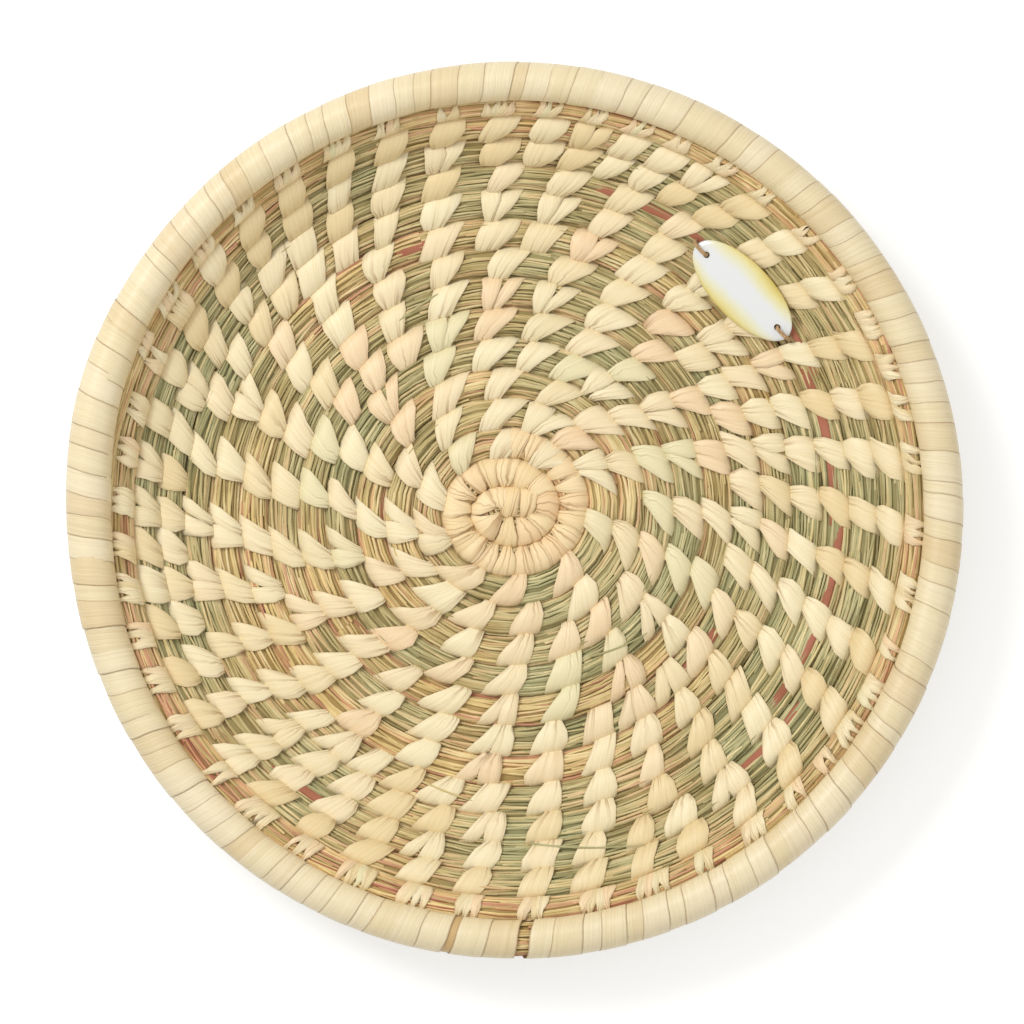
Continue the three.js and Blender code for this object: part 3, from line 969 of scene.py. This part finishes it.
# Centre wraps, wound edge to edge
wrap_ends, stitch_ends = strip_ends()
wrap_sizes = stitch_sizes | {
    "Crown": 1.5 * mm,
    "Pleats": 19.0,
    "Pleat depth": 0.2 * mm,
    "Overlap": 0.3 * mm,
}
wraps = leaf_tree("centre wraps", wrap_leaf, wrap_course, wrap_sizes)
for number in range(len(wrap_ends) - 1):
    turns, last = wrap_ends[number], wrap_ends[number + 1]
    if number == 0:
        turns = start_turns - lead_in_turns
    points = []
    while turns < last:
        width = wrap_spacing * dice.uniform(*wrap_width_range)
        points.append(leaf_at(row_at, turns, width=width, carry=wrap_spacing))
        turns += wrap_spacing / arc_per_turn(turns)
    name = f"centre_wrap_{number + 1:02d}"
    keep(made_by(wraps, guide_mesh(name, points), "palm_" + name, wrap_leaf), "palm_leaf", name)


def next_row(row):
    """Places of the stitches a turn further on: each beside the one below, new ones in the widest gaps."""
    places = row[-1:] + [turns + 1 - stitch_step_back / arc_per_turn(turns + 1) for turns in row]
    wanted = round(arc_per_turn(row[0] + 1.5) / stitch_spacing)
    while len(places) <= wanted:
        gaps = [b - a for a, b in zip(places, places[1:])]
        widest = gaps.index(max(gaps))
        places.insert(widest + 1, places[widest] + gaps[widest] / 2)
    for _ in range(row_evening_passes):
        middles = [(a + b) / 2 for a, b in zip(places, places[2:])]
        moves = [middle - here for here, middle in zip(places[1:-1], middles)]
        places[1:-1] = [here + row_evening_share * move for here, move in zip(places[1:-1], moves)]
    return places[1:]


def stitch_places():
    spacing = stitch_spacing / arc_per_turn(open_from_turns + 0.5)
    row = [open_from_turns + i * spacing for i in range(round(1 / spacing))]
    while row[0] < coil_turns:
        for turns in row:
            if turns < coil_turns + tail_turns / 2:
                yield turns + dice.uniform(-1, 1) * stitch_jitter / arc_per_turn(turns)
        row = next_row(row)


def open_stitches(turns):
    """One stitch, or where the leaf has split, two narrower ones side by side."""
    width = stitch_width * dice.uniform(*stitch_width_range)
    outer = clamp((turns - lean_settles_from) / lean_settles_over)
    lean = inner_stitch_lean + (stitch_lean - inner_stitch_lean) * outer
    tone = clamp(dice.random() * stitch_tone_spread + between(leaf_rows, turns))
    shared = {"carry": stitch_spacing, "tone": tone}
    if dice.random() < split_stitch_chance:
        halves = []
        for side, share, leaning in zip((-1, 1), split_widths, split_leans):
            own = {"width": width * share, "lean": lean * leaning, "slide": side * width * split_slide}
            if side > 0:
                own |= {"lift": split_lift, "tone": clamp(tone + split_tone_step)}
            halves.append(leaf_at(row_at, turns, **(shared | own)))
        return halves
    shared["lean"] = lean * dice.uniform(*stitch_lean_range)
    shared["square"] = dice.choice(stitch_squareness)
    return [leaf_at(row_at, turns, width=width, **shared)]


def tongues(turns):
    """Narrow strips that fan out from one place at the row's inner side to the underside of the rim."""
    base = dice.uniform(*lashing_leans) * mm
    found = []
    for tip in dice.choice(lashing_fans):
        slide = (tip + dice.uniform(-lashing_tip_jitter, lashing_tip_jitter)) * mm
        width = dice.uniform(*lashing_widths) * mm
        lean = base - lashing_gathering * slide
        found.append(leaf_at(row_at, turns, width=width, slide=slide, lean=lean))
    return found


# Open stitches, one piece for each strip of leaf, and the split ends that lash the last row to the rim
stitching = leaf_tree("open stitches", leaf, stitch_course, stitch_sizes)
lashing = leaf_tree("rim lashings", leaf, tongue_course, stitch_sizes | {"Crown": 0.5 * mm})
places = list(stitch_places())
for number in range(len(stitch_ends) - 1):
    first, last = stitch_ends[number], stitch_ends[number + 1]
    if number == 0:
        first = open_from_turns
    here = [turns for turns in places if first <= turns < last]
    open_here = [one for turns in here if turns < tongues_from_turns for one in open_stitches(turns)]
    split_here = [one for turns in here if turns >= tongues_from_turns for one in tongues(turns)]
    name = f"leaf_stitching_{number + 1:02d}"
    if open_here:
        mesh = guide_mesh(name, open_here)
        keep(made_by(stitching, mesh, "palm_" + name, leaf), "palm_leaf", name)
    if split_here:
        mesh = guide_mesh(name + "_split", split_here)
        keep(made_by(lashing, mesh, "palm_lashing_" + name[-2:], leaf), "palm_leaf", name)


def rim_path(turns):
    return rim_at(turns * 360)


# Rim: strips of leaf wound edge to edge, and the grass core inside them
binding = leaf_tree("rim binding", rim_leaf, rim_course, rim_sizes, rim_wrap_stations)
for number in range(rim_strips):
    start = rim_step_end / 360 + number / rim_strips
    mine = rim_wraps // rim_strips
    points = []
    for i in range(mine):
        width = rim_spacing * dice.uniform(*rim_width_range)
        at = start + (i + 0.5 + dice.uniform(-rim_place_jitter, rim_place_jitter)) / mine / rim_strips
        tone = dice.random() * rim_tone_spread
        past = (at * 360 - rim_step_end + rim_step_length / 2) / rim_step_length
        lift = dice.uniform(-rim_lift_jitter, rim_lift_jitter) + rim_bulge * math.exp(-past * past)
        lift += rim_bulge * math.exp(-((past - 360 / rim_step_length) ** 2))
        past_gap, past_tan = ((at % 1) * 360 - odd for odd in (rim_gap, tan_strip))
        if abs(past_gap) < odd_strip_reach:
            continue
        if abs(past_tan) < odd_strip_reach:
            tone = tan_strip_tone
            lift -= tan_strip_depth
        for away in (past_gap, past_tan):
            if odd_strip_reach < abs(away) < odd_strip_neighbours:
                width += odd_strip_closing
                at -= math.copysign(odd_strip_closing / 2, away) / (turn * rim_middle_radius)
        points.append(leaf_at(rim_path, at, width=width, carry=rim_spacing, lift=lift, tone=tone))
    name = f"rim_binding_{number + 1:02d}"
    keep(made_by(binding, guide_mesh(name, points), "palm_" + name, rim_leaf), "rim_leaf", name)

stations = []
for i in range(rim_core_stations):
    station = rim_path(i / rim_core_stations)
    station.update({"along": i * rim_core_spacing, "green": rim_core_green})
    stations.append(station)
links = [(i, (i + 1) % rim_core_stations) for i in range(rim_core_stations)]
rim_core_sizes = dict.fromkeys(("Half width", "Rise", "Drop"), rim_stem_ring)
rim_core_sizes |= dict.fromkeys(("Core half width", "Core half height"), rim_core_radius)
rim_core = made_by(stems, guide_mesh("rim guide", stations, links), "grass_rim_core", grass, rim_core_sizes)
keep(rim_core, "grass", "rim_core")


def tag_matrix():
    """The tag's frame: along the row, up the slope and off the weave."""
    outward = outward_at(tag_angle / turn)
    run = 0
    step = 0.3 * mm
    while profile_at(run)[0] < tag_radius:
        run += step
    _, height, slope = profile_at(run)
    across, up = tilted(outward, slope)
    place = outward * tag_radius + centring + Vector((0, 0, height)) + up * tag_lift
    along = across.cross(up)
    rows = [[along[i], across[i], up[i], place[i]] for i in range(3)] + [[0, 0, 0, 1]]
    return Matrix(rows)


def tag_mesh():
    """A domed oval with a rolled edge, lying flat about the middle."""
    mesh = bpy.data.meshes.new("oval_tag_glazed")
    bm = bmesh.new()
    section = [(i / 10, 1.0) for i in range(1, 9)]
    section += [(0.87, 0.97), (0.93, 0.86), (0.97, 0.7), (1.0, 0.45)]
    section += [(0.98, 0.2), (0.93, 0.05), (0.85, 0.0), (0.5, 0.0), (0.1, 0.0)]
    rings = []
    for share, level in section:
        dome = tag_dome * (1 - share * share) if level > 0.5 else 0
        ring = []
        for i in range(tag_segments):
            angle = turn * i / tag_segments
            x = share * tag_length / 2 * math.cos(angle)
            y = share * tag_width / 2 * math.sin(angle)
            ring.append(bm.verts.new((x, y, level * tag_thickness * tag_body_share + dome)))
        rings.append(ring)
    for near, far in zip(rings, rings[1:]):
        for i in range(tag_segments):
            j = (i + 1) % tag_segments
            bm.faces.new((near[i], far[i], far[j], near[j]))
    bm.faces.new(rings[0])
    bm.faces.new(list(reversed(rings[-1])))
    bmesh.ops.recalc_face_normals(bm, faces=bm.faces)
    bm.to_mesh(mesh)
    bm.free()
    return mesh


def tag_with_holes():
    """The oval with its holes drilled, its edges softened and its distance from the middle line stored."""
    plate = new_object("oval_tag_plate", tag_mesh())
    drills = []
    for side in (-1, 1):
        bm = bmesh.new()
        move = Matrix.Translation((side * tag_hole_spacing / 2, 0, 0))
        radii = {"radius1": tag_hole_radius, "radius2": tag_hole_radius}
        bmesh.ops.create_cone(bm, cap_ends=True, segments=28, depth=20 * mm, matrix=move, **radii)
        drill = new_object("drill", bpy.data.meshes.new("drill"))
        bm.to_mesh(drill.data)
        bm.free()
        cut = plate.modifiers.new("hole", "BOOLEAN")
        cut.operation = "DIFFERENCE"
        cut.object = drill
        cut.solver = "EXACT"
        drills.append(drill)
    rounded = plate.modifiers.new("edge", "BEVEL")
    rounded.width = tag_edge_rounding
    rounded.segments = 2
    rounded.limit_method = "ANGLE"
    mesh = plain_mesh(plate)
    for drill in drills:
        bpy.data.objects.remove(drill)
    edge = mesh.attributes.new("edge", "FLOAT", "POINT")
    for vertex, value in zip(mesh.vertices, edge.data):
        value.value = abs(2 * vertex.co.y / tag_width)
    mesh.shade_smooth()
    mesh.transform(tag_matrix())
    return mesh


tag = new_object("oval_tag_glazed", tag_with_holes())
tag.data.materials.append(glaze)
keep(tag, "glazed_tag", "oval_tag")


def smooth_between(a, b, c, d, f):
    """A value a share f of the way from b to c, on a smooth line that also passes a and d."""
    return b + 0.5 * f * (c - a + f * (2 * a - 5 * b + 4 * c - d + f * (3 * b - a + d - 3 * c)))


def tie(side):
    """Three plies of thread twisted together, up through the hole, over the tip and into the weave."""
    hole = tag_hole_spacing / 2
    beyond = tag_length / 2 + 0.9 * mm
    top = tag_thickness + 1.0 * mm
    course = [
        (hole + 0.1 * mm, -2.2 * mm),
        (hole, 0.4 * mm),
        (hole + 0.3 * mm, top - 0.3 * mm),
        (hole + 1.6 * mm, top + 0.1 * mm),
        (beyond - 1.4 * mm, top - 0.2 * mm),
        (beyond, tag_thickness - 0.6 * mm),
        (beyond + 0.3 * mm, -2.4 * mm),
    ]
    curve = bpy.data.curves.new("tie", "CURVE")
    curve.dimensions = "3D"
    curve.bevel_depth = thread_radius
    curve.bevel_resolution = 2
    curve.use_fill_caps = True
    for ply in range(thread_plies):
        spline = curve.splines.new("POLY")
        spline.points.add(thread_steps - 1)
        for i in range(thread_steps):
            at = i / (thread_steps - 1) * (len(course) - 1)
            k = min(int(at), len(course) - 2)
            near = [course[clamp(k + j, 0, len(course) - 1)] for j in (-1, 0, 1, 2)]
            x, z = (smooth_between(*values, at - k) for values in zip(*near))
            twist = turn * (ply / thread_plies + i / thread_steps_per_twist)
            level = thread_twist_height * math.cos(twist)
            sideways = thread_twist_width * math.sin(twist)
            spline.points[i].co = (side * (x + level), sideways, z + level, 1)
    mesh = plain_mesh(new_object("tie", curve))
    mesh.transform(tag_matrix())
    mesh.shade_smooth()
    return mesh


for side, name in ((-1, "left"), (1, "right")):
    piece = new_object(f"thread_tie_{name}", tie(side))
    piece.data.materials.clear()
    piece.data.materials.append(thread)
    keep(piece, "twine", f"tag_tie_{name}")


def seen_directly(add):
    """1 where the camera looks straight, by way of a shine or through a clear surface, and otherwise 0."""
    ray = add("ShaderNodeLightPath").outputs
    seen = add("ShaderNodeMath", ray["Is Camera Ray"], ray["Is Glossy Ray"], operation="MAXIMUM")
    return add("ShaderNodeMath", seen, ray["Is Transmission Ray"], operation="MAXIMUM")


def white_floor():
    """Plain and white to the camera, pale to everything else, and it keeps the plate's shadow."""
    material, tree, shader = surface("white_floor", roughness=0.9, specular=0.0)
    add = partial(add_node, tree)
    shader["Base Color"].default_value = linear("#dcdcda")
    shader["Emission Color"].default_value = (1, 1, 1, 1)
    glow = add("ShaderNodeMath", seen_directly(add), floor_glow, operation="MULTIPLY")
    tree.links.new(glow.outputs[0], shader["Emission Strength"])
    return material


corners = [(x * floor_reach, y * floor_reach, 0) for x, y in ((-1, -1), (1, -1), (1, 1), (-1, 1))]
floor_mesh = bpy.data.meshes.new("floor")
floor_mesh.from_pydata(corners, [], [(0, 1, 2, 3)])
floor_mesh.materials.append(white_floor())
floor = new_object("floor", floor_mesh)

# World: even pale light, white where the camera sees it
world = bpy.data.worlds.new("studio")
bpy.context.scene.world = world
world.use_nodes = True
background = world.node_tree.nodes["Background"].inputs
background["Color"].default_value = (1, 1, 1, 1)
add = partial(add_node, world.node_tree)
strength = add("ShaderNodeMapRange", seen_directly(add), 0.0, 1.0, world_strength, 1.0)
world.node_tree.links.new(strength.outputs[0], background["Strength"])


def soft_lamp(name, place, size, power):
    lamp = bpy.data.lights.new(name, "AREA")
    lamp.energy = power
    lamp.size = size
    holder = new_object(name, lamp)
    holder.location = place
    holder.rotation_euler = (-Vector(place)).to_track_quat("-Z", "Y").to_euler()


soft_lamp("key", place=(-0.9, 0.8, 1.3), size=0.7, power=17.5)
soft_lamp("fill", place=(1.1, -0.6, 1.4), size=1.2, power=4.7)

# Camera straight above, framed as the photograph is
camera = bpy.data.cameras.new("camera")
camera.sensor_width = sensor_width
camera.lens = sensor_width * camera_height / (photo_size * photo_scale)
viewer = new_object("camera", camera)
half = photo_size / 2
viewer.location = (
    (half - plate_middle_px[0]) * photo_scale,
    (plate_middle_px[1] - half) * photo_scale,
    camera_height + face_height,
)
bpy.context.scene.camera = viewer
bpy.context.scene.view_settings.view_transform = "Standard"
